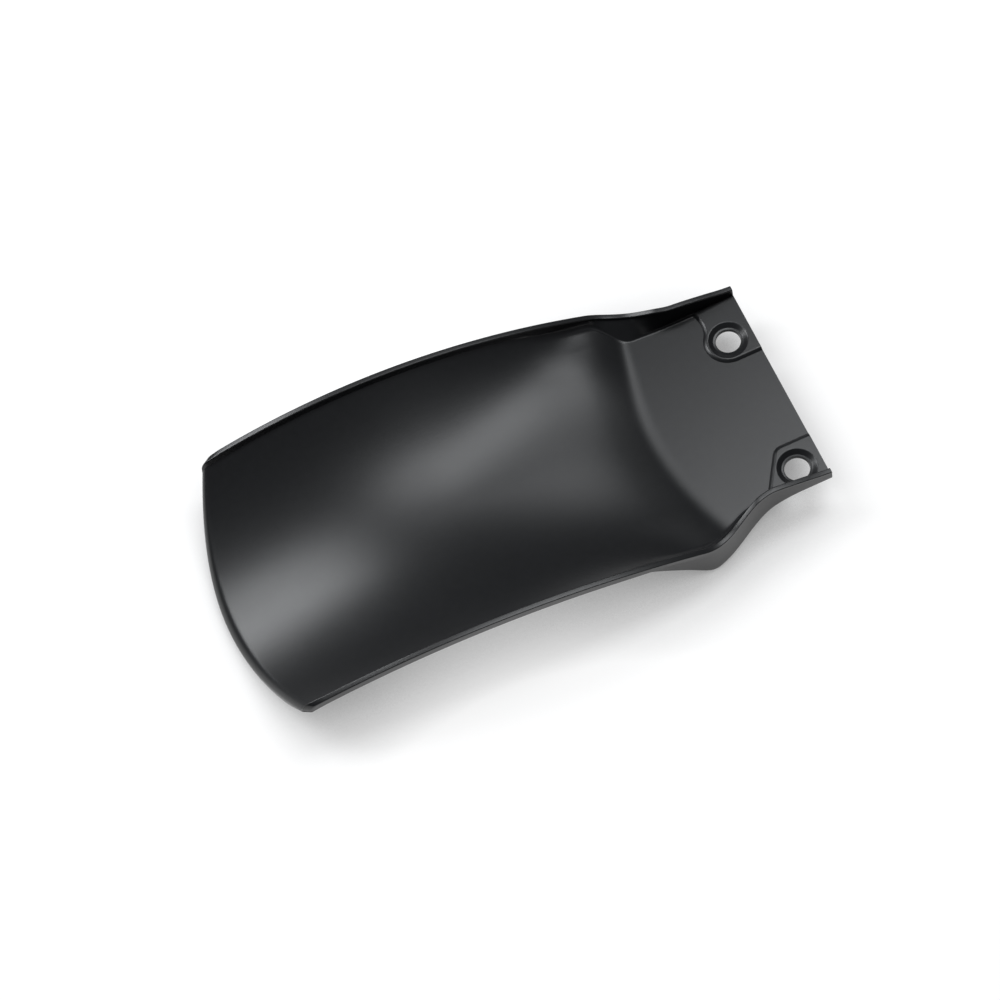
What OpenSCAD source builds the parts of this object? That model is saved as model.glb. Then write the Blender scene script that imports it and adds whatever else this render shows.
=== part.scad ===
// Shock mud flap: one moulded shell. A flat mounting plate with two bolt holes between low side
// walls flares into a long arched blade, dished across its width, with a turned-up rim along both
// sides and a turned-down lip round its free end. Millimetres, Z up, the bolt row along Y.

/* [Mounting plate] */
// outer width over the plate's side walls
plate_w = 92; // [86:0.2:94]
// from the bolt row to the square-cut plate end
end_reach = 10.4; // [9:0.1:12]
// height of the side walls at the plate end, above the plate
wall_end = 4.2; // [3.5:0.1:6]
// height of the side walls where they start to flare
wall_top = 10.2; // [8:0.1:12]
// sideways offset of the flap's centre line from the middle of the bolt row
axis_off = 5; // [0:0.1:5.5]

/* [Bolt holes and pads] */
// bolt hole diameter
hole_d = 10; // [8:0.1:10.4]
// distance between the two bolt holes
hole_pitch = 62.6; // [60:0.1:64]
// height of the raised pads above the plate
pad_h = 0.8; // [0.4:0.1:1.2]
// radius of the pad edge round a bolt hole
pad_r = 10; // [9.8:0.1:10.6]
// width of the sloping pad edge
pad_slope = 1.7; // [1:0.1:2]
// radius of the dish round a bolt hole at the pad surface
dish_r = 8; // [7.4:0.1:8.2]
// depth of that dish below the pad surface
dish_d = 1.2; // [0.8:0.1:1.4]

/* [Blade] */
// widest part of the blade over its rims
blade_w = 117; // [110:0.2:124]
// from the bolt row to the rim corners of the blade end
blade_reach = 209.4; // [200:0.2:220]
// how far the blade end bows out past its corners
end_bow = 16.4; // [10:0.2:18]
// radius of the arch along the rims
arch_r = 230; // [215:1:250]
// height of the rims at the crown of the arch
arch_top = 35.6; // [33:0.1:38]
// height of the channel floor at its crown
floor_top = 20; // [18:0.1:22]
// radius of the channel floor along its middle
floor_r = 290; // [270:1:310]

/* [Shell and edges] */
// thickness of the moulded shell
wall_t = 2.2; // [1.8:0.1:2.4]
// width of the flat land on the rims
land_w = 2.2; // [2:0.1:2.6]
// height of the rim above the channel floor beside it
rim_up = 2.3; // [1.8:0.1:2.6]
// height of the rim's outer face
rim_face = 3.9; // [3.6:0.1:4.2]
// radius over the top of the turned-down end lip
lip_r = 3.2; // [2.6:0.1:3.6]
// how far the end lip hangs below the shell's underside
lip_drop = 3.2; // [2:0.1:4]
// how far the shell bulges down along the flaring side walls, below the plate
bulge_d = 9.4; // [6:0.1:11]

/* [Hidden] */
$fn = 96;

trim = 3;
arch_x = -156;
floor_x = -158;
wide_x = -124;
taper = 1.2;
corner_r = 3;
edge_bow = 10;
bend = 1.6;
wall_lean = 0.03;
plate_half = 41.3;
corner_out = 2.4;
flare_a = -13;
flare_b = -48;
foot_a = -33;
foot_b = -50.5;
dish_foot = 6;
neck_a = 143;
neck_x = 6.8;
neck_y = 11;
slant_a = 148;
pad_side = 11.6;
pad_round = 5;
nf = 10;
na = 4;
nw = 2;
ni = nf + na + nw;

function clamp01(t) = min(1, max(0, t));
function ease(a, b, x) = let (t = clamp01((x - a) / (b - a))) t * t * (3 - 2 * t);
function mix(a, b, t) = a + (b - a) * t;
function sq(x) = x * x;

// plan half-width and height of the rims at station s
function half_w(s) =
    mix(plate_w / 2, blade_w / 2 - taper * sq((s - wide_x) / (blade_reach + wide_x)),
        ease(flare_a, flare_b, s));
function wall_z(s) =
    wall_top - (wall_top - wall_end) * pow(clamp01((s + 14) / (end_reach + 14)), 1.15);
function rim_z(s) =
    mix(wall_z(s), arch_top - sq(s - arch_x) / (2 * arch_r), ease(-20, -50, s));

// how much of the plate's flat-floored section there is at station s
function boxy(s) = sq(sin(90 * sq(clamp01((s + 98) / 55))));

// each station bows out towards the blade end; its rim corners are rounded back
function bow(s) = end_bow * sq(clamp01((-120 - s) / (blade_reach - 120)));
function corner(s, y) =
    let (k = clamp01((abs(y) - half_w(s) + corner_r) / corner_r))
    ease(-blade_reach + 9, -blade_reach, s) * corner_r * (1 - sqrt(max(0, 1 - k * k)));
function x_at(s, y) = s - bow(s) * (1 - sq(y / half_w(s))) + corner(s, y);

// channel floor along the middle
function floor_mid(s) =
    let (x = s - bow(s)) floor_top - sq(x - floor_x) / (2 * floor_r);

// the flat plate bends up along a bowed line into the channel floor
function bed(s, y) =
    let (z = floor_mid(s - edge_bow * sq(y / 48)))
    max(0, z) + sq(max(0, bend - abs(z))) / (4 * bend);

// the shell bulges down along the flaring walls, whose inner faces lean out from a later foot
function bulge(s) = bulge_d * ease(-3, -37, s) * (1 - 0.6 * ease(-42, -58, s));
function fillet(s) = mix(1.4, 3, ease(-30, -46, s));
function wall_foot(s) =
    mix(plate_w / 2, half_w(s), ease(foot_a, foot_b, s)) - land_w - wall_lean * rim_z(s);

function lip_z(s) = mix(1.2, rim_up, 1 - boxy(s));
function face_z(s) = mix(0.7, rim_face, 1 - boxy(s));

// half section of the plate: floor, fillet and leaning wall, as [y, z]
function box_half(s) =
    let (yb = wall_foot(s), zb = bed(s, yb), r = fillet(s),
         top = [half_w(s) - land_w - wall_lean * lip_z(s), rim_z(s) - lip_z(s)],
         lean = atan((top[0] - yb) / (top[1] - zb)), yf = yb - r * tan((90 - lean) / 2),
         knee = [yf + r * cos(lean), zb + r - r * sin(lean)])
    concat(
        [for (i = [0 : nf]) let (y = yf * i / nf) [y, bed(s, y)]],
        [for (i = [1 : na]) let (a = -90 + (90 - lean) * i / na)
            [yf + r * cos(a), zb + r + r * sin(a)]],
        [for (i = [1 : nw]) mix(knee, top, i / nw)]);

// half section of the blade: a dished floor up to the foot of the rim, as [y, z]
function dish_half(s) =
    let (b = box_half(s), wi = half_w(s) - land_w - 0.7, z1 = rim_z(s) - rim_up,
         p = mix(2.15, 3.6, ease(-130, -60, s)))
    [for (i = [0 : ni]) let (u = b[i][0] / b[ni][0]) [wi * u, mix(bed(s, 0), z1, pow(u, p))]];

// the underside: the dish set back by the shell thickness, the plate with an upright outer face
function dish_under(h) =
    [for (i = [0 : ni])
        let (a = h[max(0, i - 1)], b = h[min(ni, i + 1)], d = b - a)
        i == 0 ? [0, h[0][1] - wall_t] : h[i] + wall_t * [d[1], -d[0]] / norm(d)];
function box_under(s) =
    let (w = half_w(s) - 0.15, r = corner_out, e = w - r, z = -bulge(s) - wall_t,
         f = max(plate_half, wall_foot(s) - 4), k = floor(nf / 2))
    [for (i = [0 : ni])
        let (y = i <= k ? f * i / k : mix(f, e, min(1, (i - k) / (nf - k))),
             t = 90 * (i - nf) / na)
        i <= nf ? [y, mix(bed(s, y), -bulge(s), ease(f, e, y)) - wall_t]
        : i <= nf + na ? [e + r * sin(t), z + r * (1 - cos(t))]
        : [w, mix(z + r, rim_z(s) - face_z(s), (i - nf - na) / (nw + 1))]];

// full closed section: up the floor, over the rim, back along the underside
function half_loop(s) =
    let (a = dish_half(s), b = box_half(s), p = dish_under(a), q = box_under(s),
         k = boxy(s), w = half_w(s), z = rim_z(s))
    concat([for (i = [0 : ni]) mix(a[i], b[i], k)],
           [[w - land_w - 0.25 * (1 - k), z - lip_z(s) / 2], [w - land_w, z], [w, z],
            [w - 0.15, z - face_z(s)]],
           [for (i = [ni : -1 : 0]) mix(p[i], q[i], k)]);

// end lip: the top rolls over by lip_r while the underside drops
function roll(s) =
    let (d = clamp01((s + blade_reach) / lip_r)) lip_r * (1 - sqrt(max(0, 1 - sq(1 - d))));
function hang(s, y) =
    (s + blade_reach < 2.4 ? lip_drop : 0) * (1 - ease(0.8, 0.99, abs(y) / half_w(s)));

hl = 2 * (ni + 1) + 4;
function section(s) =
    let (h = half_loop(s),
         zs = [for (i = [0 : hl - 1]) h[i][1] - (i < ni + 4 ? roll(s) : hang(s, h[i][0]))],
         lo = [for (i = [0 : hl - 1]) i < ni + 4 ? zs[i] : min(zs[i], zs[ni + 3] - 0.4)],
         right = [for (i = [0 : hl - 1]) [x_at(s, h[i][0]), h[i][0] + axis_off,
                                          s + blade_reach < lip_r ? lo[i] : zs[i]]],
         left = [for (i = [hl - 2 : -1 : 1]) [x_at(s, h[i][0]), axis_off - h[i][0],
                                              s + blade_reach < lip_r ? lo[i] : zs[i]]])
    concat(right, left);

// stations from the plate end to the blade end, closer together where the shape turns
stations = concat(
    [end_reach + trim, 4, -4, -8],
    [for (i = [1 : 24]) -8 - i * 2.3],
    [for (i = [1 : 8]) -63.2 - i * 3.4],
    [for (i = [1 : 20]) mix(-90.4, -blade_reach + 9, i / 20)],
    [-blade_reach + 6, -blade_reach + 4.4],
    [for (i = [0 : 5]) -blade_reach + lip_r * (1 - sin(15 * i))],
    [-blade_reach + lip_r * 0.005]);

// strips across the shell's thickness close a ring: sign 1 at the first, -1 at the last
function left_of(i) = (2 * hl - 2 - i) % (2 * hl - 2);
function strip(a, b, c, d, sign) = sign > 0 ? [[a, b, c], [a, c, d]] : [[c, b, a], [d, c, a]];
function cap(base, sign) =
    [for (i = [0 : hl / 2 - 2])
        each concat(
            strip(base + i, base + i + 1, base + hl - 2 - i, base + hl - 1 - i, sign),
            strip(base + left_of(i), base + left_of(i + 1), base + left_of(hl - 2 - i),
                  base + left_of(hl - 1 - i), -sign))];

module loft(rings) {
    n = len(rings[0]);
    m = len(rings);
    polyhedron(
        points = [for (r = rings) each r],
        faces = concat(
            cap(0, 1),
            [for (j = [0 : m - 2], i = [0 : n - 1]) let (a = j * n + i, b = j * n + (i + 1) % n)
                each [[a, a + n, b], [b, a + n, b + n]]],
            cap((m - 1) * n, -1)));
}

// pad outlines about their bolt hole, counter-clockwise, running into the wall and past the end
wall_in = plate_w / 2 - land_w / 2;
pad_end = end_reach + pad_slope + 1;
function arc(c, r, a, b, n) = [for (i = [0 : n]) let (t = mix(a, b, i / n)) c + r * [cos(t), sin(t)]];
function lobe_pad() =
    let (w = wall_in + axis_off - hole_pitch / 2, y0 = pad_r * sin(neck_a))
    concat([[pad_end, -pad_r], [pad_end, w]],
           [for (i = [5 : -1 : 0]) let (y = mix(y0 + 1.2, w, i / 5))
               [-neck_x - 0.045 * sq(y - neck_y), y]],
           arc([0, 0], pad_r, neck_a, 270, 16));
function corner_pad() =
    let (w = -wall_in + axis_off + hole_pitch / 2, n = [cos(slant_a), sin(slant_a)],
         c = [(n[1] * (pad_side - pad_round) - pad_r + pad_round) / -n[0], pad_side - pad_round],
         e = c + pad_round * n)
    concat([[pad_end, w], [pad_end, pad_side]],
           arc(c, pad_round, 90, slant_a, 9),
           [e + [n[1], -n[0]] * (w - e[1]) / -n[0]]);

// a pad: an upright foot sunk in the plate, then the slope up to its flat top
module pad(outline) {
    n = len(outline);
    sink = 0.6;
    foot = 0.06;
    function set_in(i, d) =
        let (a = outline[(i + n - 1) % n], p = outline[i], b = outline[(i + 1) % n],
             u = (p - a) / norm(p - a), v = (b - p) / norm(b - p), m = [-u[1] - v[1], u[0] + v[0]])
        p + m * d * 2 / (m * m);
    polyhedron(
        points = concat(
            [for (z = [-sink, -foot, pad_h], i = [0 : n - 1])
                let (p = set_in(i, pad_slope * max(z, -foot) / pad_h)) [p[0], p[1], z]],
            [[0, 0, -sink], [0, 0, pad_h]]),
        faces = [for (i = [0 : n - 1]) let (j = (i + 1) % n)
            each [[i, n + i, j], [j, n + i, n + j], [n + i, 2 * n + i, n + j],
                  [n + j, 2 * n + i, 2 * n + j], [3 * n, i, j], [3 * n + 1, 2 * n + j, 2 * n + i]]]);
}

module bolt_hole() {
    translate([0, 0, -wall_t - 5]) cylinder(d = hole_d, h = wall_t + pad_h + 10);
    translate([0, 0, pad_h - dish_d]) cylinder(r1 = dish_foot, r2 = dish_r, h = dish_d);
    translate([0, 0, pad_h]) cylinder(r = dish_r, h = 2);
}

module flap() {
    color([0.1, 0.1, 0.105]) difference() {
        union() {
            loft([for (s = stations) section(s)]);
            translate([0, hole_pitch / 2, 0]) pad(lobe_pad());
            translate([0, -hole_pitch / 2, 0]) pad(corner_pad());
        }
        for (y = [-1, 1]) translate([0, y * hole_pitch / 2, 0]) bolt_hole();
        translate([end_reach, -plate_w, -20]) cube([20, 2 * plate_w, 60]);
    }
}

flap();
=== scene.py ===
"""Shock mud flap: one moulded black shell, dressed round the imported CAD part."""

import enum
import logging
import math
from dataclasses import dataclass, field

import bmesh
import bpy
import numpy as np
from mathutils import Matrix, Vector

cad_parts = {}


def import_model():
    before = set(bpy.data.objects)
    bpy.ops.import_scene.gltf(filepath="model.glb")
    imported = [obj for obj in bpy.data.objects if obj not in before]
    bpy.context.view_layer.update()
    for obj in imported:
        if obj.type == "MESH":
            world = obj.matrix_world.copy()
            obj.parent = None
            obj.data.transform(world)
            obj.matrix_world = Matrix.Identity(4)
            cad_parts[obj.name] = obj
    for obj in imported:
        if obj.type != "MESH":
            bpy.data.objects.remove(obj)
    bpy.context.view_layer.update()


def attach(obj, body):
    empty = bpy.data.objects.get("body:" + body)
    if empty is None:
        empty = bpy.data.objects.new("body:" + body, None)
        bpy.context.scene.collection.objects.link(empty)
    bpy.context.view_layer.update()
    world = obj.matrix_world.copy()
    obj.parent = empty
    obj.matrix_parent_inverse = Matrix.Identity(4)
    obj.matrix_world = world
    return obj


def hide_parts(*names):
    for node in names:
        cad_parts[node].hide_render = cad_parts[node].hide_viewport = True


log = logging.getLogger("mud_flap")
MM = 0.001
NODE = "flap"


class PadShape(enum.Enum):
    """The two outlines of the raised pads round the bolt holes."""

    LOBE = "lobe"
    CORNER = "corner"


def ease(a: float, b: float, x: np.ndarray) -> np.ndarray:
    """Runs smoothly from 0 at a to 1 at b.

    Args:
        a: Where the result is 0.
        b: Where the result is 1; it may lie below a.
        x: Values along the same axis.

    Returns:
        The eased share, held at 0 and 1 outside the range.
    """
    t = np.clip((x - a) / (b - a), 0.0, 1.0)
    return t * t * (3.0 - 2.0 * t)


def mix(a: np.ndarray, b: np.ndarray, t: np.ndarray) -> np.ndarray:
    """Returns a + (b - a) * t."""
    return a + (b - a) * t


def arc(
    centre: tuple[float, float], radius: float, start: float, end: float, count: int
) -> list[tuple[float, float]]:
    """Points along an arc.

    Args:
        centre: The arc's centre.
        radius: Its radius.
        start: First angle in degrees.
        end: Last angle in degrees.
        count: Number of steps.

    Returns:
        count + 1 points.
    """
    turns = np.radians(np.linspace(start, end, count + 1))
    return [(centre[0] + radius * math.cos(t), centre[1] + radius * math.sin(t)) for t in turns]


def mesh_object(name: str, points: np.ndarray, faces: list[tuple[int, ...]]) -> bpy.types.Object:
    """Links a mesh object made from points in millimetres.

    Args:
        name: Name of the object and its mesh.
        points: Array of n by 3 positions in millimetres.
        faces: Vertex indices of each face.

    Returns:
        The new object.
    """
    mesh = bpy.data.meshes.new(name)
    mesh.from_pydata((np.asarray(points) * MM).tolist(), [], faces)
    mesh.update()
    made = bpy.data.objects.new(name, mesh)
    bpy.context.scene.collection.objects.link(made)
    return made


def ring_solid(name: str, rings: list[np.ndarray]) -> bpy.types.Object:
    """A closed solid lofted through rings of equal length, its two ends closed flat.

    Args:
        name: Name of the object.
        rings: Closed rings of points in millimetres, from the lowest up, counter-clockwise.

    Returns:
        The solid.
    """
    n = len(rings[0])
    faces: list[tuple[int, ...]] = []
    for j in range(len(rings) - 1):
        a, b = j * n, (j + 1) * n
        faces += [(a + i, a + (i + 1) % n, b + (i + 1) % n, b + i) for i in range(n)]
    faces.append(tuple(range(n - 1, -1, -1)))
    faces.append(tuple((len(rings) - 1) * n + i for i in range(n)))
    return mesh_object(name, np.concatenate(rings), faces)


def apply_boolean(target: bpy.types.Object, tool: bpy.types.Object, operation: str) -> None:
    """Applies an exact boolean to target and removes the tool.

    Args:
        target: The object that changes.
        tool: The solid that is joined or cut away.
        operation: "UNION" or "DIFFERENCE".
    """
    modifier = target.modifiers.new(operation.lower(), "BOOLEAN")
    modifier.operation = operation
    modifier.solver = "EXACT"
    modifier.object = tool
    graph = bpy.context.evaluated_depsgraph_get()
    made = bpy.data.meshes.new_from_object(target.evaluated_get(graph))
    target.modifiers.clear()
    old = target.data
    target.data = made
    made.name = target.name
    bpy.data.meshes.remove(old)
    bpy.data.objects.remove(tool)


@dataclass(frozen=True)
class ShellSizes:
    """Sizes of the moulded shell in millimetres, with the CAD source's names and values."""

    plate_w: float = 92.0
    end_reach: float = 10.4
    wall_end: float = 4.2
    wall_top: float = 10.2
    axis_off: float = 5.0
    blade_w: float = 117.0
    blade_reach: float = 209.4
    end_bow: float = 16.4
    arch_r: float = 230.0
    arch_top: float = 35.6
    floor_top: float = 20.0
    floor_r: float = 290.0
    wall_t: float = 2.2
    land_w: float = 2.2
    rim_up: float = 2.3
    rim_face: float = 3.9
    lip_r: float = 3.2
    lip_drop: float = 3.2
    bulge_d: float = 9.4
    arch_x: float = -156.0
    floor_x: float = -158.0
    wide_x: float = -124.0
    taper: float = 1.2
    corner_r: float = 3.0
    edge_bow: float = 10.0
    bend: float = 1.6
    plate_half: float = 41.3
    wall_lean: float = 0.03
    corner_out: float = 2.4
    flare_a: float = -13.0
    flare_b: float = -48.0
    foot_a: float = -33.0
    foot_b: float = -50.5


@dataclass
class FlapShell:
    """The shell: a walled plate that flares into an arched, dished blade with an end lip.

    The hump and ramp sizes shape the steeper floor just past the bend, which only the dressed shell has.
    """

    size: ShellSizes = field(default_factory=ShellSizes)
    floor_steps: int = 56
    fillet_steps: int = 8
    wall_steps: int = 7
    edge_round: float = 0.45
    hump_x: float = -57.8
    hump_end: float = -122.7
    hump_h: float = 2.5
    hump_far: float = 3.2
    ramp: float = 0.022
    ramp_far: float = 0.2

    def half_width(self, s: float) -> float:
        """Plan half-width over the rims at station s."""
        z = self.size
        blade = z.blade_w / 2 - z.taper * ((s - z.wide_x) / (z.blade_reach + z.wide_x)) ** 2
        return float(mix(z.plate_w / 2, blade, ease(z.flare_a, z.flare_b, s)))

    def rim_height(self, s: float) -> float:
        """Height of the rims at station s."""
        z = self.size
        t = min(1.0, max(0.0, (s + 14) / (z.end_reach + 14)))
        wall = z.wall_top - (z.wall_top - z.wall_end) * t**1.15
        arch = z.arch_top - (s - z.arch_x) ** 2 / (2 * z.arch_r)
        return float(mix(wall, arch, ease(-20, -50, s)))

    def boxy(self, s: float) -> float:
        """Share of the plate's walled section at station s."""
        return math.sin(math.pi / 2 * min(1.0, max(0.0, (s + 98) / 55)) ** 2) ** 2

    def bow(self, s: float) -> float:
        """How far the middle of station s bows out towards the blade end."""
        z = self.size
        return z.end_bow * min(1.0, max(0.0, (-120 - s) / (z.blade_reach - 120))) ** 2

    def place_x(self, s: float, y: np.ndarray) -> np.ndarray:
        """Positions along the flap of station s, its bow and rounded rim corner included."""
        z = self.size
        k = np.clip((np.abs(y) - self.half_width(s) + z.corner_r) / z.corner_r, 0, 1)
        back = float(ease(-z.blade_reach + 9, -z.blade_reach, s)) * z.corner_r
        return s - self.bow(s) * (1 - (y / self.half_width(s)) ** 2) + back * (1 - np.sqrt(np.maximum(0, 1 - k * k)))

    def hump(self, s: float, y: np.ndarray, far: bool) -> np.ndarray:
        """Extra height of the channel floor just past the bend, higher and steeper in the far half.

        Args:
            s: Station along the flap.
            y: Distances from the centre line.
            far: Whether the half behind the centre line is meant.

        Returns:
            The height to add to the floor's rise; past the bend it fades at the wall's foot.
        """
        side = np.minimum(1, np.abs(y) / 45) ** 2 * far
        before = 3 * np.logaddexp(0, (s - self.hump_x) / 3)
        kept = 1 - float(ease(self.hump_x, self.hump_end, s))
        raised = (self.hump_h + self.hump_far * side) * kept - (self.ramp + self.ramp_far * side) * before
        fade = float(ease(-38, -68, s)) * ease(0.62, 1.0, np.abs(y) / self.wall_foot(s, far))
        return raised * (1 - fade)

    def bed(self, s: float, y: np.ndarray, far: bool) -> np.ndarray:
        """Height of the flat plate where it bends up along a bowed line into the channel floor."""
        z = self.size
        x = s - z.edge_bow * (y / 48) ** 2 - self.bow(s)
        rise = z.floor_top - (x - z.floor_x) ** 2 / (2 * z.floor_r) + self.hump(s, y, far)
        return np.maximum(0, rise) + np.maximum(0, z.bend - np.abs(rise)) ** 2 / (4 * z.bend)

    def fillet(self, s: float) -> float:
        """Radius at the foot of the side wall."""
        return float(mix(1.4, 3.0, ease(-30, -46, s)))

    def bulge(self, s: float) -> float:
        """How far the underside sinks along the side walls at station s."""
        return self.size.bulge_d * float(ease(-3, -37, s)) * (1 - 0.6 * float(ease(-42, -58, s)))

    def wall_foot(self, s: float, far: bool) -> float:
        """Distance of the side wall's foot from the centre line; the near one flares with its rim."""
        z = self.size
        start, end = (z.foot_a, z.foot_b) if far else (z.flare_a - 2, z.flare_b)
        outer = float(mix(z.plate_w / 2, self.half_width(s), ease(start, end, s)))
        return outer - z.land_w - z.wall_lean * self.rim_height(s)

    def lip_rise(self, s: float) -> float:
        """Height of the rim's inner edge below the land."""
        return float(mix(1.2, self.size.rim_up, 1 - self.boxy(s)))

    def face_drop(self, s: float) -> float:
        """Height of the rim's outer face."""
        return float(mix(0.7, self.size.rim_face, 1 - self.boxy(s)))

    def walled_half(self, s: float, far: bool) -> np.ndarray:
        """Inner half section with floor, fillet and side wall, as rows of y and z."""
        z = self.size
        w, rim, foot, r = self.half_width(s), self.rim_height(s), self.wall_foot(s, far), self.fillet(s)
        zb = float(self.bed(s, np.array(foot), far))
        top = np.array([w - z.land_w - z.wall_lean * self.lip_rise(s), rim - self.lip_rise(s)])
        lean = math.atan2(top[0] - foot, top[1] - zb)
        yf = foot - r * math.tan((math.pi / 2 - lean) / 2)
        y = np.linspace(0, yf, self.floor_steps + 1)
        floor = np.stack([y, self.bed(s, y, far)], 1)
        turn = np.linspace(-math.pi / 2, -lean, self.fillet_steps + 1)[1:]
        bend = np.stack([yf + r * np.cos(turn), zb + r + r * np.sin(turn)], 1)
        share = np.linspace(0, 1, self.wall_steps + 1)[1:, None]
        return np.concatenate([floor, bend, mix(bend[-1], top, share)])

    def dished_half(self, s: float, walled: np.ndarray, far: bool) -> np.ndarray:
        """Inner half section of the blade, point for point with the walled one."""
        z = self.size
        wi = self.half_width(s) - z.land_w - 0.7
        high = self.rim_height(s) - z.rim_up
        u = walled[:, 0] / walled[-1, 0]
        power = float(mix(2.15, 3.6, ease(-130, -60, s)))
        return np.stack([wi * u, mix(float(self.bed(s, np.array(0.0), far)), high, u**power)], 1)

    def dished_under(self, h: np.ndarray) -> np.ndarray:
        """The dished half section set back by the shell thickness."""
        d = np.empty_like(h)
        d[1:-1] = h[2:] - h[:-2]
        d[0], d[-1] = h[1] - h[0], h[-1] - h[-2]
        d /= np.linalg.norm(d, axis=1, keepdims=True)
        d[0] = (1, 0)
        return h + self.size.wall_t * np.stack([d[:, 1], -d[:, 0]], 1)

    def walled_under(self, s: float, far: bool) -> np.ndarray:
        """The underside of the walled half section, bulging down to its upright outer face."""
        z = self.size
        na, nw, n = self.fillet_steps, self.wall_steps, self.floor_steps // 2
        w, r, sink = self.half_width(s) - 0.15, z.corner_out, self.bulge(s)
        e, low, f = w - r, -sink - z.wall_t, max(z.plate_half, self.wall_foot(s, far) - 4)
        y = np.concatenate([np.linspace(0, f, n, endpoint=False), np.linspace(f, e, n + 1)])
        flat = np.stack([y, mix(self.bed(s, y, far), -sink, ease(f, e, y)) - z.wall_t], 1)
        turn = np.linspace(0, math.pi / 2, na + 1)[1:]
        bend = np.stack([e + r * np.sin(turn), low + r * (1 - np.cos(turn))], 1)
        rise = mix(low + r, self.rim_height(s) - self.face_drop(s), np.arange(1, nw + 1) / (nw + 1))
        return np.concatenate([flat, bend, np.stack([np.full(nw, w), rise], 1)])

    def rim_points(self, s: float) -> np.ndarray:
        """The rim from its inner edge over the land and down the outer face."""
        z = self.size
        w, rim, r = self.half_width(s), self.rim_height(s), self.edge_round
        k = 1 - self.boxy(s)
        inner = [(w - z.land_w - 0.25 * k, rim - self.lip_rise(s) / 2)]
        inner += arc((w - z.land_w + r, rim - r), r, 180, 90, 3)
        outer = arc((w - r * 0.7, rim - r * 0.7), r * 0.7, 90, 0, 3)
        return np.array(inner + outer + [(w - 0.15, rim - self.face_drop(s))])

    def half_loop(self, s: float, far: bool) -> tuple[np.ndarray, int]:
        """Closed half section at station s.

        Args:
            s: The station along the flap.
            far: Whether the half behind the centre line is meant.

        Returns:
            The points, and how many of them count as the shell's top.
        """
        walled = self.walled_half(s, far)
        dished = self.dished_half(s, walled, far)
        k = self.boxy(s)
        under = mix(self.dished_under(dished), self.walled_under(s, far), k)
        top = mix(dished, walled, k)
        rim = self.rim_points(s)
        return np.concatenate([top, rim, under[::-1]]), len(top) + len(rim) - 1

    def placed_half(self, s: float, far: bool) -> np.ndarray:
        """Half section in three dimensions, the end lip's roll and drop included.

        Args:
            s: The station along the flap.
            far: Whether the half behind the centre line is meant.

        Returns:
            Points whose y is the distance from the centre line.
        """
        z = self.size
        h, tops = self.half_loop(s, far)
        into = s + z.blade_reach
        roll = z.lip_r * (1 - math.sqrt(max(0.0, 1 - (1 - min(1.0, max(0.0, into / z.lip_r))) ** 2)))
        drop = float(ease(2.8, 2.0, into)) * z.lip_drop
        hang = drop * (1 - ease(0.8, 0.99, np.abs(h[:, 0]) / self.half_width(s)))
        height = h[:, 1] - np.where(np.arange(len(h)) < tops, roll, hang)
        if into < z.lip_r:
            height = np.where(np.arange(len(h)) < tops, height, np.minimum(height, height[tops - 1] - 0.4))
        return np.stack([self.place_x(s, h[:, 0]), h[:, 0], height], 1)

    def section(self, s: float) -> np.ndarray:
        """Full ring of points at station s."""
        right, left = self.placed_half(s, True), self.placed_half(s, False)[-2:0:-1]
        ring = np.concatenate([right, left * (1, -1, 1)])
        ring[:, 1] += self.size.axis_off
        return ring

    def stations(self) -> np.ndarray:
        """Stations from past the plate end to the blade end, closer where the shape turns."""
        z = self.size
        turn = np.radians(np.linspace(0, 88, 10))
        return np.concatenate([
            [z.end_reach + 3, 6, 1, -3],
            np.linspace(-5, -98, 94),
            np.linspace(-98, -z.blade_reach + 9, 50)[1:],
            -z.blade_reach + np.array([7.5, 6.0, 4.6, 3.7]),
            -z.blade_reach + z.lip_r * (1 - np.sin(turn)),
        ])

    def build(self) -> bpy.types.Object:
        """Builds the shell as one closed mesh."""
        rings = [self.section(s) for s in self.stations()]
        n, m = len(rings[0]), len(rings)
        faces: list[tuple[int, ...]] = []
        for j in range(m - 1):
            a, b = j * n, (j + 1) * n
            faces += [(a + i, b + i, b + (i + 1) % n, a + (i + 1) % n) for i in range(n)]
        half = n // 2 + 1
        for base, flip in ((0, False), ((m - 1) * n, True)):
            for side in (1, -1):
                for i in range(half // 2):
                    a, b, c, d = (base + (side * k) % n for k in (i, i + 1, half - 2 - i, half - 1 - i))
                    quad = (a, b, c, d) if len({a, b, c, d}) == 4 else tuple(dict.fromkeys((a, b, c, d)))
                    if len(quad) > 2:
                        faces.append(quad[::-1] if flip != (side < 0) else quad)
        return mesh_object("flap_shell", np.concatenate(rings), faces)


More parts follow.
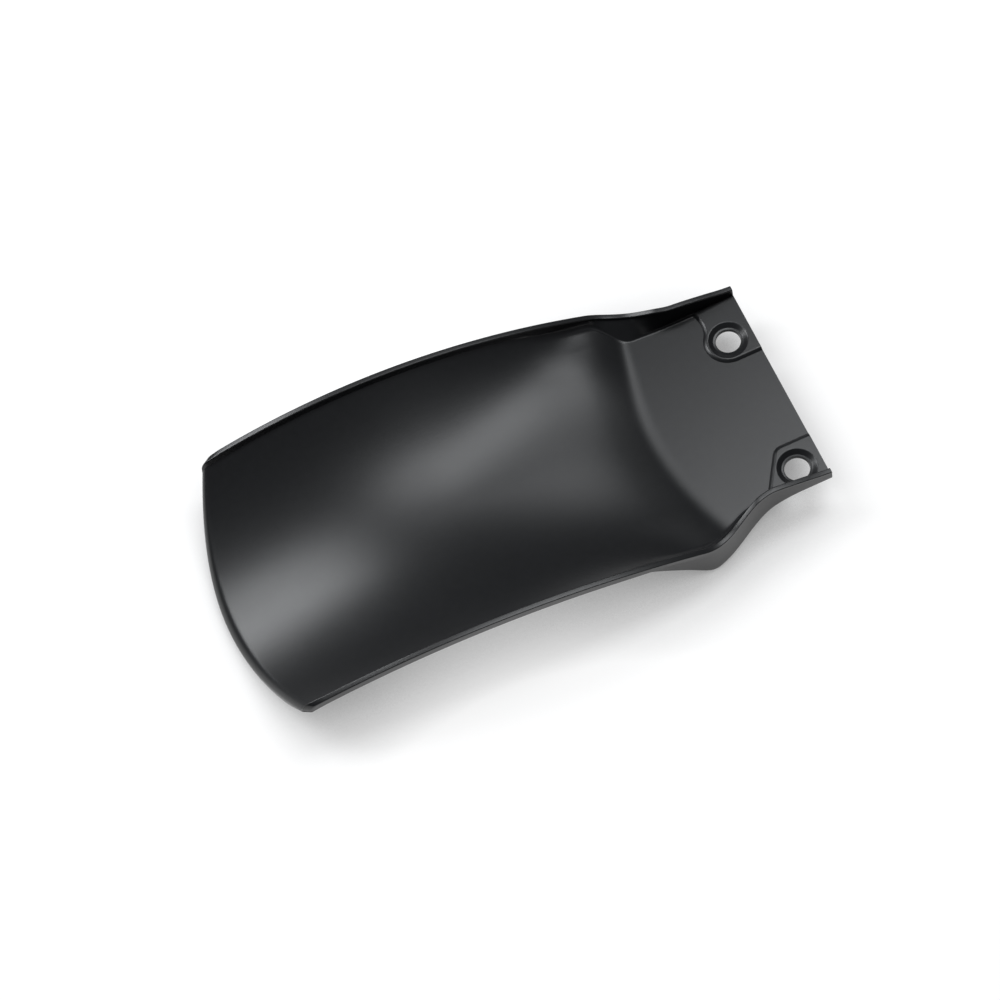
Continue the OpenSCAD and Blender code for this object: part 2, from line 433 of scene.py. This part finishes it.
@dataclass
class BoltPads:
    """The two raised pads with their dished bolt holes."""

    shell: ShellSizes = field(default_factory=ShellSizes)
    hole_d: float = 10.0
    hole_pitch: float = 62.6
    pad_h: float = 0.8
    pad_r: float = 10.0
    pad_slope: float = 1.7
    dish_r: float = 8.0
    dish_d: float = 1.2
    dish_foot: float = 6.0
    neck_a: float = 143.0
    neck_x: float = 6.8
    neck_y: float = 11.0
    slant_a: float = 148.0
    pad_side: float = 11.6
    pad_round: float = 5.0

    def outline(self, shape: PadShape) -> np.ndarray:
        """Outline of a pad about its bolt hole.

        Args:
            shape: Which of the two pads.

        Returns:
            Points, counter-clockwise, running into the wall and past the plate end.
        """
        wall_in = self.shell.plate_w / 2 - self.shell.land_w / 2
        end = self.shell.end_reach + self.pad_slope + 1
        if shape is PadShape.LOBE:
            w = wall_in + self.shell.axis_off - self.hole_pitch / 2
            low = self.pad_r * math.sin(math.radians(self.neck_a)) + 0.7
            neck = [(-self.neck_x - 0.045 * (y - self.neck_y) ** 2, y) for y in np.linspace(w, low, 14)]
            return np.array([(end, -self.pad_r), (end, w)] + neck + arc((0, 0), self.pad_r, self.neck_a, 270, 40))
        w = -wall_in + self.shell.axis_off + self.hole_pitch / 2
        n = (math.cos(math.radians(self.slant_a)), math.sin(math.radians(self.slant_a)))
        rise = self.pad_side - self.pad_round
        c = ((n[1] * rise - self.pad_r + self.pad_round) / -n[0], rise)
        e = (c[0] + self.pad_round * n[0], c[1] + self.pad_round * n[1])
        foot = (w - e[1]) / -n[0]
        tail = (e[0] + n[1] * foot, e[1] - n[0] * foot)
        return np.array([(end, w), (end, self.pad_side)] + arc(c, self.pad_round, 90, self.slant_a, 16) + [tail])

    def set_in(self, outline: np.ndarray, depth: float) -> np.ndarray:
        """The outline moved inwards by depth, along the mean of each corner's two normals."""
        a, b = np.roll(outline, 1, 0), np.roll(outline, -1, 0)
        u = (outline - a) / np.linalg.norm(outline - a, axis=1, keepdims=True)
        v = (b - outline) / np.linalg.norm(b - outline, axis=1, keepdims=True)
        m = np.stack([-u[:, 1] - v[:, 1], u[:, 0] + v[:, 0]], 1)
        return outline + m * depth * 2 / (m * m).sum(1, keepdims=True)

    def pad(self, shape: PadShape, y: float) -> bpy.types.Object:
        """A pad with a crisp foot and a rounded shoulder.

        Args:
            shape: Which of the two pads.
            y: Where its bolt hole stands.

        Returns:
            The pad as a closed solid.
        """
        outline = self.outline(shape)
        rings = [self.ring(self.set_in(outline, -0.5), y, -0.5)]
        for t in np.linspace(0, 1, 7):
            height = self.pad_h * math.sin(t * math.pi / 2)
            rings.append(self.ring(self.set_in(outline, self.pad_slope * t), y, height))
        return ring_solid(f"pad_{shape.value}", rings)

    def ring(self, points: np.ndarray, y: float, z: float) -> np.ndarray:
        """Plan points at height z, moved to the bolt hole at y."""
        return np.column_stack([points[:, 0], points[:, 1] + y, np.full(len(points), z)])

    def cutter(self, y: float) -> bpy.types.Object:
        """The tool that sinks a dish and drills the bore, with softened edges."""
        r, top = self.hole_d / 2, self.pad_h
        low = top - self.dish_d
        foot, rim, base = self.dish_foot, self.dish_r, -self.shell.wall_t
        profile = [(r + 0.5, -8.0), (r + 0.5, base), (r, base + 0.5), (r, low - 0.3)]
        profile += [(r + 0.09, low - 0.09), (r + 0.3, low), (foot - 0.1, low), (foot + 0.25, low + 0.12)]
        profile += [(rim - 0.35, top - 0.16), (rim + 0.05, top - 0.02), (rim + 0.5, top + 0.02)]
        profile += [(rim + 0.5, top + 3)]
        turn = np.linspace(0, 2 * math.pi, 97)[:-1]
        circle = np.column_stack([np.cos(turn), np.sin(turn)])
        return ring_solid("hole_cutter", [self.ring(a * circle, y, z) for a, z in profile])

    def end_cutter(self) -> bpy.types.Object:
        """The block that squares off the plate end."""
        x = self.shell.end_reach
        corners = np.array([(x, -80), (x + 20, -80), (x + 20, 90), (x, 90)])
        return ring_solid("end_cutter", [np.column_stack([corners, np.full(4, z)]) for z in (-20.0, 30.0)])

    def fit(self, target: bpy.types.Object) -> None:
        """Joins the pads to the shell, cuts the holes and squares the end."""
        half = self.hole_pitch / 2
        for shape, y in ((PadShape.LOBE, half), (PadShape.CORNER, -half)):
            apply_boolean(target, self.pad(shape, y), "UNION")
            apply_boolean(target, self.cutter(y), "DIFFERENCE")
        apply_boolean(target, self.end_cutter(), "DIFFERENCE")


class MouldGrain:
    """Shader group for the skin of a moulded plastic: fine grain, faint streaks and rub marks."""

    NAME = "mould_grain"

    @classmethod
    def group(cls) -> bpy.types.NodeTree:
        """Builds the group once.

        Returns:
            The node group, with outputs Height, Tone and Rub.
        """
        if cls.NAME in bpy.data.node_groups:
            return bpy.data.node_groups[cls.NAME]
        tree = bpy.data.node_groups.new(cls.NAME, "ShaderNodeTree")
        for name, default in (("Grain Scale", 900.0), ("Streak Scale", 14.0)):
            tree.interface.new_socket(name, in_out="INPUT", socket_type="NodeSocketFloat").default_value = default
        for name in ("Height", "Tone", "Rub"):
            tree.interface.new_socket(name, in_out="OUTPUT", socket_type="NodeSocketFloat")
        add, link = tree.nodes.new, tree.links.new
        given, out = add("NodeGroupInput"), add("NodeGroupOutput")
        place = add("ShaderNodeTexCoord")
        fine, soft, streak = add("ShaderNodeTexNoise"), add("ShaderNodeTexNoise"), add("ShaderNodeTexNoise")
        for node, detail in ((fine, 3.0), (soft, 2.0), (streak, 4.0)):
            node.inputs["Detail"].default_value = detail
            link(place.outputs["Object"], node.inputs["Vector"])
        link(given.outputs["Grain Scale"], fine.inputs["Scale"])
        coarse = add("ShaderNodeMath")
        coarse.operation = "MULTIPLY"
        coarse.inputs[1].default_value = 0.22
        link(given.outputs["Grain Scale"], coarse.inputs[0])
        link(coarse.outputs[0], soft.inputs["Scale"])
        link(given.outputs["Streak Scale"], streak.inputs["Scale"])
        both = add("ShaderNodeMath")
        both.operation = "MULTIPLY_ADD"
        both.inputs[1].default_value = 0.45
        link(soft.outputs["Fac"], both.inputs[0])
        link(fine.outputs["Fac"], both.inputs[2])
        rub = add("ShaderNodeMapRange")
        rub.inputs["From Min"].default_value = 0.52
        rub.inputs["From Max"].default_value = 0.72
        link(streak.outputs["Fac"], rub.inputs["Value"])
        link(both.outputs[0], out.inputs["Height"])
        link(soft.outputs["Fac"], out.inputs["Tone"])
        link(rub.outputs["Result"], out.inputs["Rub"])
        return tree


@dataclass(frozen=True)
class SatinPlastic:
    """Satin black moulded plastic."""

    name: str = "satin_black_plastic"
    dark: tuple[float, float, float] = (0.0155, 0.0161, 0.0172)
    light: tuple[float, float, float] = (0.0205, 0.0213, 0.0228)
    rough_low: float = 0.30
    rough_high: float = 0.33
    grain_scale: float = 1500.0
    bump: float = 0.05

    def material(self) -> bpy.types.Material:
        """Builds the material with its grain, tone and rub marks."""
        made = bpy.data.materials.new(self.name)
        made.use_nodes = True
        nodes, links = made.node_tree.nodes, made.node_tree.links
        shader = nodes["Principled BSDF"]
        shader.inputs["IOR"].default_value = 1.5
        grain = nodes.new("ShaderNodeGroup")
        grain.node_tree = MouldGrain.group()
        grain.inputs["Grain Scale"].default_value = self.grain_scale
        colour = nodes.new("ShaderNodeMix")
        colour.data_type = "RGBA"
        colour.inputs["A"].default_value = (*self.dark, 1)
        colour.inputs["B"].default_value = (*self.light, 1)
        links.new(grain.outputs["Tone"], colour.inputs["Factor"])
        links.new(colour.outputs["Result"], shader.inputs["Base Color"])
        rough = nodes.new("ShaderNodeMapRange")
        rough.inputs["To Min"].default_value = self.rough_low
        rough.inputs["To Max"].default_value = self.rough_high
        links.new(grain.outputs["Rub"], rough.inputs["Value"])
        links.new(rough.outputs["Result"], shader.inputs["Roughness"])
        bump = nodes.new("ShaderNodeBump")
        bump.inputs["Strength"].default_value = self.bump
        bump.inputs["Distance"].default_value = 0.0002
        links.new(grain.outputs["Height"], bump.inputs["Height"])
        links.new(bump.outputs["Normal"], shader.inputs["Normal"])
        return made


@dataclass
class MudFlap:
    """The whole flap: shell, pads and finish."""

    shell: FlapShell = field(default_factory=FlapShell)
    pads: BoltPads = field(default_factory=BoltPads)
    finish: SatinPlastic = field(default_factory=SatinPlastic)

    def build(self) -> bpy.types.Object:
        """Builds the flap and puts it in place of its CAD node.

        Returns:
            The finished piece.
        """
        piece = self.shell.build()
        self.pads.fit(piece)
        self.smooth(piece)
        piece.data.materials.clear()
        piece.data.materials.append(self.finish.material())
        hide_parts(NODE)
        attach(piece, "root")
        return piece

    def smooth(self, piece: bpy.types.Object) -> None:
        """Shades the piece smooth, with crisp edges kept where it turns sharply."""
        work = bmesh.new()
        work.from_mesh(piece.data)
        bmesh.ops.remove_doubles(work, verts=work.verts, dist=1e-6)
        for face in work.faces:
            face.smooth = True
        for edge in work.edges:
            edge.smooth = edge.is_manifold and edge.calc_face_angle(0.0) < math.radians(32)
        work.to_mesh(piece.data)
        work.free()
        weigh = piece.modifiers.new("even_shading", "WEIGHTED_NORMAL")
        weigh.keep_sharp = True


@dataclass
class Studio:
    """Floor, light, surroundings and camera."""

    tilt: float = 8.5
    turn: float = 22.8
    height: float = 62.0
    distance: float = 1.0
    px_per_mm: float = 2.55
    anchor: tuple[float, float] = (762.1, 403.45)
    middle: tuple[float, float, float] = (-0.1, 0.005, 0.01)
    room: tuple[float, float, float] = (0.03, 0.03, 0.032)
    floor_tone: float = 0.42
    floor_glow: float = 0.82
    # Painted shade: the floor's glow falls to this level within this reach of the flap.
    painted_shade_glow: float = 0.22
    painted_shade_reach: float = 0.035
    tint: tuple[float, float, float] = (0.96, 0.98, 1.0)

    def axes(self) -> tuple[Vector, Vector, Vector]:
        """The camera's right, up and look directions in the plate's frame."""
        a, e = math.radians(self.turn), math.radians(self.height)
        lean = Matrix.Rotation(math.radians(self.tilt), 3, "Y")
        right = lean @ Vector((math.cos(a), -math.sin(a), 0))
        look = lean @ Vector((math.sin(a) * math.cos(e), math.cos(a) * math.cos(e), -math.sin(e)))
        return right, right.cross(look), look

    def camera(self) -> bpy.types.Object:
        """A camera that frames the flap as the photograph does, in a square picture."""
        right, up, look = self.axes()
        focal = self.px_per_mm / MM * self.distance
        shift = right * ((self.anchor[0] - 500) / focal) - up * ((self.anchor[1] - 500) / focal)
        data = bpy.data.cameras.new("camera")
        data.sensor_width = 36.0
        data.lens = 36.0 * focal / 1000.0
        data.clip_start, data.clip_end = 0.05, 100.0
        made = bpy.data.objects.new("camera", data)
        turned = Matrix((right, up, -look)).transposed().to_4x4()
        made.matrix_world = Matrix.Translation(-(look + shift) * self.distance) @ turned
        bpy.context.scene.collection.objects.link(made)
        bpy.context.scene.camera = made
        return made

    def floor(self, piece: bpy.types.Object) -> bpy.types.Object:
        """A pale floor under the flap's two lines of contact.

        Args:
            piece: The flap that lies on it.

        Returns:
            The floor.
        """
        co = np.array([v.co for v in piece.data.vertices])
        near, far = co[co[:, 0] > -0.1], co[co[:, 0] < -0.15]
        slope = 0.0
        for _ in range(30):
            low = [part[np.argmin(part[:, 2] - slope * part[:, 0])] for part in (near, far)]
            slope = (low[0][2] - low[1][2]) / (low[0][0] - low[1][0])
        angle = math.atan(slope)
        made = self.sweep()
        stand = Matrix.Translation((low[0][0], 0, low[0][2] - 0.00002))
        made.matrix_world = stand @ Matrix.Rotation(-angle, 4, "Y")
        log.info("floor tilted by %.2f degrees", math.degrees(angle))
        made.data.materials.append(self.paint())
        return made

    def paint(self) -> bpy.types.Material:
        """Pale paint that the camera and reflections see as white, with painted shade that dims its glow close to
        the flap.
        """
        paint = bpy.data.materials.new("pale_floor")
        paint.use_nodes = True
        nodes, links = paint.node_tree.nodes, paint.node_tree.links
        shader = nodes["Principled BSDF"]
        shader.inputs["Base Color"].default_value = (self.floor_tone,) * 3 + (1,)
        shader.inputs["Roughness"].default_value = 0.9
        shader.inputs["Specular IOR Level"].default_value = 0.1
        shader.inputs["Emission Color"].default_value = (1, 1, 1, 1)
        path = nodes.new("ShaderNodeLightPath")
        seen = path.outputs["Is Camera Ray"]
        for ray in ("Is Glossy Ray", "Is Transmission Ray"):
            either = nodes.new("ShaderNodeMath")
            either.operation = "MAXIMUM"
            links.new(seen, either.inputs[0])
            links.new(path.outputs[ray], either.inputs[1])
            seen = either.outputs[0]
        glow = nodes.new("ShaderNodeMath")
        glow.operation = "MULTIPLY"
        # Painted shadow: ambient occlusion dims the floor's glow where the flap is close, darkest at the contact.
        painted_shade_ao = nodes.new("ShaderNodeAmbientOcclusion")
        painted_shade_ao.samples = 4
        painted_shade_ao.inputs["Distance"].default_value = self.painted_shade_reach
        soft = nodes.new("ShaderNodeMapRange")
        soft.inputs["From Min"].default_value = 0.3
        soft.inputs["To Min"].default_value = self.painted_shade_glow
        soft.inputs["To Max"].default_value = self.floor_glow
        links.new(painted_shade_ao.outputs["AO"], soft.inputs["Value"])
        links.new(seen, glow.inputs[0])
        links.new(soft.outputs["Result"], glow.inputs[1])
        links.new(glow.outputs[0], shader.inputs["Emission Strength"])
        return paint

    def sweep(self) -> bpy.types.Object:
        """A wide round floor that turns up into a low backdrop some way off; its sizes are in metres."""
        turn = np.linspace(0, 2 * math.pi, 129)[:-1]
        profile = [(3.5, 0.0), *arc((3.5, 0.42), 0.42, -80, 0, 6), (3.92, 0.6)]
        n = len(turn)
        rings = [np.column_stack([r * np.cos(turn), r * np.sin(turn), np.full(n, z)]) / MM for r, z in profile]
        faces: list[tuple[int, ...]] = [tuple(range(n))]
        for a in range(0, n * (len(rings) - 1), n):
            faces += [(a + i, a + n + i, a + n + (i + 1) % n, a + (i + 1) % n) for i in range(n)]
        return mesh_object("floor", np.concatenate(rings), faces)

    def surroundings(self) -> None:
        """A dim even room."""
        world = bpy.data.worlds.new("room")
        bpy.context.scene.world = world
        world.use_nodes = True
        back = world.node_tree.nodes["Background"]
        back.inputs["Color"].default_value = (*self.room, 1)

    def softbox(
        self, name: str, towards: Vector, size: tuple[float, float], roll: float, radiance: float
    ) -> bpy.types.Object:
        """A rectangular soft light that faces the middle of the flap.

        Args:
            name: Name of the light.
            towards: Where it stands, seen from the middle of the flap, in metres.
            size: Its long and short side in metres.
            roll: Turn of its long side away from the flap's length, in radians.
            radiance: How bright its face is.

        Returns:
            The light.
        """
        data = bpy.data.lights.new(name, "AREA")
        data.shape = "RECTANGLE"
        data.size, data.size_y = size
        data.energy = radiance * math.pi * size[0] * size[1]
        data.color = self.tint
        made = bpy.data.objects.new(name, data)
        out = towards.normalized()
        level = (Vector((1, 0, 0)) - out * out.x).normalized()
        side = level * math.cos(roll) + out.cross(level) * math.sin(roll)
        frame = Matrix((side, out.cross(side), out)).transposed().to_4x4()
        made.matrix_world = Matrix.Translation(Vector(self.middle) + towards) @ frame
        bpy.context.scene.collection.objects.link(made)
        return made

    def light(self) -> None:
        """Hangs two softboxes: one past the blade end, one over the plate."""
        self.softbox("key", Vector((-0.422, 0.493, 0.761)), (0.578, 0.280), -0.249, 9.1)
        self.softbox("fill", Vector((0.344, 0.245, 0.906)), (0.664, 0.299), 0.208, 5.7)


def main() -> None:
    """Builds the flap and its studio, in order."""
    logging.basicConfig(level=logging.INFO, format="%(name)s: %(message)s")
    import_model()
    studio = Studio()
    studio.camera()
    piece = MudFlap().build()
    log.info("%s: %d faces", piece.name, len(piece.data.polygons))
    studio.floor(piece)
    studio.surroundings()
    studio.light()
    bpy.context.scene.view_settings.view_transform = "Standard"


if __name__ == "__main__":
    main()
